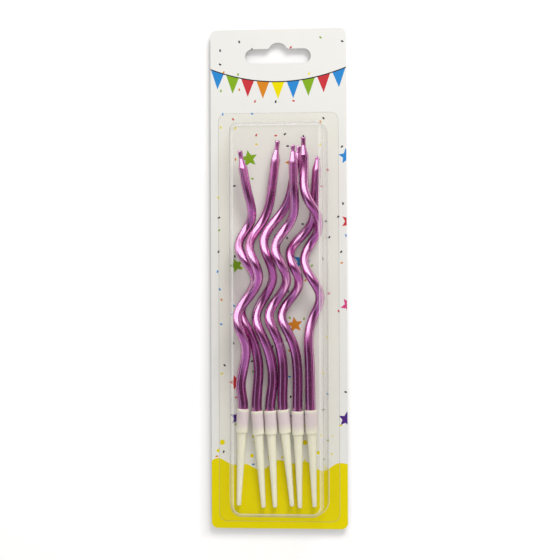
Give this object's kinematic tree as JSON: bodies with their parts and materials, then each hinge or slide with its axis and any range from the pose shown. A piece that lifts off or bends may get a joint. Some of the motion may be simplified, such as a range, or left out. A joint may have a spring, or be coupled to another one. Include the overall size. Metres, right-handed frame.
{
  "type": "carded pack of spiral birthday candles",
  "caption": "Hang card with a clear formed blister over metallic spiral wax candles, each with a wick and a push-on spiked holder.",
  "frame": {"origin": "middle of the card's back face, on which the pack lies", "axes": "+Z out of the blister, +Y along the card towards the hang slot, +X to the right as the front is read"},
  "size_m": [0.066, 0.242, 0.0184],
  "materials": {
    "card": "printed and varnished on the front, plain on the back",
    "clear_film": "clear formed film",
    "metallic_wax": "metallic lacquer over paraffin wax",
    "wick": "braided cotton, lacquered where it stands out",
    "holder_plastic": "milky moulded plastic"
  },
  "bodies": {
    "card": {"backing_card": "card"},
    "blister": {"blister": "clear_film"},
    "candle_1": {"wax_1": "metallic_wax", "wick_1": "wick"},
    "candle_2": {"wax_2": "metallic_wax", "wick_2": "wick"},
    "candle_3": {"wax_3": "metallic_wax", "wick_3": "wick"},
    "candle_4": {"wax_4": "metallic_wax", "wick_4": "wick"},
    "candle_5": {"wax_5": "metallic_wax", "wick_5": "wick"},
    "candle_6": {"wax_6": "metallic_wax", "wick_6": "wick"},
    "holder_1": {"holder_1": "holder_plastic"},
    "holder_2": {"holder_2": "holder_plastic"},
    "holder_3": {"holder_3": "holder_plastic"},
    "holder_4": {"holder_4": "holder_plastic"},
    "holder_5": {"holder_5": "holder_plastic"},
    "holder_6": {"holder_6": "holder_plastic"}
  },
  "joints": [
    {"name": "blister_peel", "type": "hinge", "parent": "card", "child": "blister", "pos_m": [0, -0.1176, 0.00045], "axis": [1, 0, 0], "range_deg": [0, 85]},
    {"name": "candle_1_shift", "type": "slide", "parent": "card", "child": "candle_1", "axis": [0, 1, 0], "range_m": [0, 0.003]},
    {"name": "candle_2_shift", "type": "slide", "parent": "card", "child": "candle_2", "axis": [0, 1, 0], "range_m": [0, 0.003]},
    {"name": "candle_3_shift", "type": "slide", "parent": "card", "child": "candle_3", "axis": [0, 1, 0], "range_m": [0, 0.003]},
    {"name": "candle_4_shift", "type": "slide", "parent": "card", "child": "candle_4", "axis": [0, 1, 0], "range_m": [0, 0.003]},
    {"name": "candle_5_shift", "type": "slide", "parent": "card", "child": "candle_5", "axis": [0, 1, 0], "range_m": [0, 0.003]},
    {"name": "candle_6_shift", "type": "slide", "parent": "card", "child": "candle_6", "axis": [0, 1, 0], "range_m": [0, 0.003]},
    {"name": "holder_1_pull", "type": "slide", "parent": "candle_1", "child": "holder_1", "axis": [-0.0523, -0.9978, -0.0401], "range_m": [0, 0.0015]},
    {"name": "holder_2_pull", "type": "slide", "parent": "candle_2", "child": "holder_2", "axis": [0.061, -0.9973, -0.0401], "range_m": [0, 0.0015]},
    {"name": "holder_3_pull", "type": "slide", "parent": "candle_3", "child": "holder_3", "axis": [0.0436, -0.9982, -0.0401], "range_m": [0, 0.0015]},
    {"name": "holder_4_pull", "type": "slide", "parent": "candle_4", "child": "holder_4", "axis": [0.0871, -0.9954, -0.04], "range_m": [0, 0.0015]},
    {"name": "holder_5_pull", "type": "slide", "parent": "candle_5", "child": "holder_5", "axis": [0.0174, -0.999, -0.0401], "range_m": [0, 0.0015]},
    {"name": "holder_6_pull", "type": "slide", "parent": "candle_6", "child": "holder_6", "axis": [0.0349, -0.9986, -0.0401], "range_m": [0, 0.0015]}
  ],
  "couplings": [
    {"joint": "candle_2_shift", "follows": "candle_1_shift", "ratio": 1},
    {"joint": "candle_3_shift", "follows": "candle_1_shift", "ratio": 1},
    {"joint": "candle_4_shift", "follows": "candle_1_shift", "ratio": 1},
    {"joint": "candle_5_shift", "follows": "candle_1_shift", "ratio": 1},
    {"joint": "candle_6_shift", "follows": "candle_1_shift", "ratio": 1}
  ]
}
